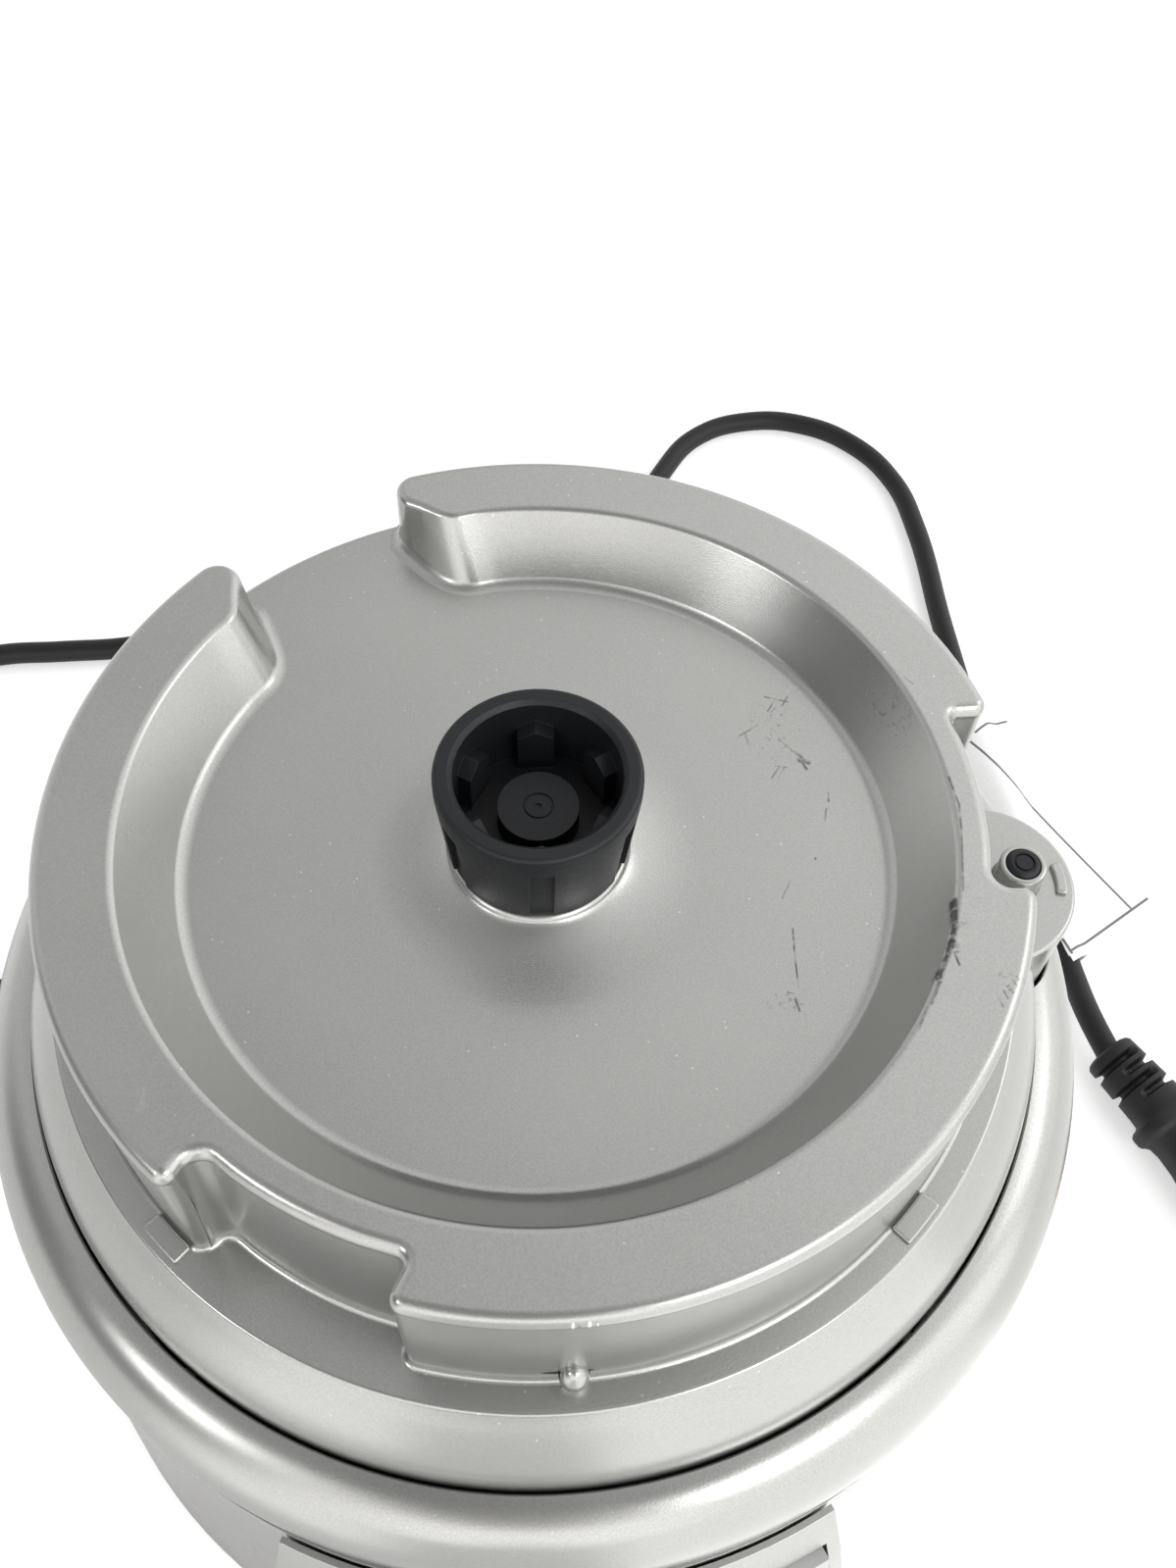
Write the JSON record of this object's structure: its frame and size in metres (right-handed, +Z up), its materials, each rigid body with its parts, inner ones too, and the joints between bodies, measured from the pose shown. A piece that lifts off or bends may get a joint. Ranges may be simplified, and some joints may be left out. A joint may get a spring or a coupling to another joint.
{
  "type": "food processor motor base",
  "caption": "Round motor base of a food processor: dished bowl seat with bayonet notches, splined drive coupling, interlock plunger, push keys, belt-driven motor and mains cord.",
  "frame": {"origin": "on the table, under the drive axis, at the middle of the foot", "axes": "+Z up along the drive axis; the control panel faces -Y; the cord leaves towards +Y; the interlock plunger is at +X"},
  "size_m": [0.4095, 0.3895, 0.1791],
  "materials": {
    "silver_plastic": "satin metallic paint on moulded ABS",
    "dark_plastic": "fine spark-eroded satin",
    "face_plastic": "gloss",
    "lens_plastic": "translucent red",
    "key_plastic": "satin",
    "base_plastic": "matte moulded",
    "white_plastic": "matte moulded",
    "board": "solder mask",
    "cord_rubber": "matte flexible PVC",
    "soft_rubber": "matte",
    "belt_rubber": "fabric backed",
    "ground_steel": "ground",
    "zinc_steel": "zinc plated",
    "cast_alloy": "die cast",
    "core_steel": "stacked laminations",
    "copper_wire": "enamelled copper",
    "blade_brass": "nickel brass",
    "carbon": "pressed carbon",
    "tag_paper": "coated paper"
  },
  "bodies": {
    "base": {"top_cover": "silver_plastic", "shoulder_ring": "silver_plastic", "lower_housing": "silver_plastic", "base_plate": "base_plastic", "rubber_feet": "soft_rubber", "control_panel": "silver_plastic", "panel_face": "face_plastic", "indicator_lens": "lens_plastic", "control_board": "board", "key_switches": "dark_plastic", "interlock_spring": "ground_steel", "interlock_switch": "dark_plastic", "switch_bracket": "white_plastic", "upper_bearing": "ground_steel", "lower_bearing": "ground_steel", "shaft_seal": "soft_rubber", "drive_belt": "belt_rubber", "stator_core": "core_steel", "field_coils": "copper_wire", "carbon_brushes": "carbon", "brush_holders": "blade_brass", "motor_bearings": "ground_steel", "upper_bracket": "cast_alloy", "lower_bracket": "cast_alloy", "motor_plate": "zinc_steel", "motor_mounts": "soft_rubber", "mount_screws": "zinc_steel", "motor_screws": "zinc_steel", "cover_screws": "zinc_steel", "base_screws": "zinc_steel", "terminal_block": "white_plastic", "cord_clamp": "base_plastic", "clamp_screws": "zinc_steel", "strain_relief": "cord_rubber", "power_cord": "cord_rubber", "plug_body": "cord_rubber", "plug_blades": "blade_brass", "cord_tag": "tag_paper"},
    "spindle": {"drive_coupling": "dark_plastic", "drive_spindle": "ground_steel", "driven_pulley": "base_plastic", "pulley_nut": "zinc_steel", "retaining_ring": "ground_steel"},
    "rotor": {"motor_pulley": "cast_alloy", "motor_shaft": "ground_steel", "armature_core": "core_steel", "armature_windings": "copper_wire", "commutator": "copper_wire", "cooling_fan": "base_plastic"},
    "plunger": {"interlock_plunger": "dark_plastic"},
    "off_button": {"off_key": "key_plastic"},
    "low_button": {"low_key": "key_plastic"},
    "pulse_button": {"pulse_key": "key_plastic"}
  },
  "joints": [
    {"name": "motor_spin", "type": "hinge", "parent": "base", "child": "rotor", "pos_m": [0, 0.054, 0.06], "axis": [0, 0, 1], "continuous": true},
    {"name": "spindle_spin", "type": "hinge", "parent": "base", "child": "spindle", "pos_m": [0, 0, 0.12], "axis": [0, 0, 1], "continuous": true},
    {"name": "plunger_slide", "type": "slide", "parent": "base", "child": "plunger", "axis": [0, 0, -1], "range_m": [0, 0.004], "stiffness_N_per_m": 700, "springref_m": -0.003, "deforming": ["interlock_spring"]},
    {"name": "off_press", "type": "slide", "parent": "base", "child": "off_button", "axis": [0.2588, 0.9659, 0], "range_m": [0, 0.0015], "stiffness_N_per_m": 900, "springref_m": -0.001},
    {"name": "low_press", "type": "slide", "parent": "base", "child": "low_button", "axis": [0, 1, 0], "range_m": [0, 0.0015], "stiffness_N_per_m": 900, "springref_m": -0.001},
    {"name": "pulse_press", "type": "slide", "parent": "base", "child": "pulse_button", "axis": [-0.2588, 0.9659, 0], "range_m": [0, 0.0015], "stiffness_N_per_m": 900, "springref_m": -0.001}
  ],
  "couplings": [
    {"joint": "spindle_spin", "follows": "motor_spin", "ratio": 0.23684}
  ]
}
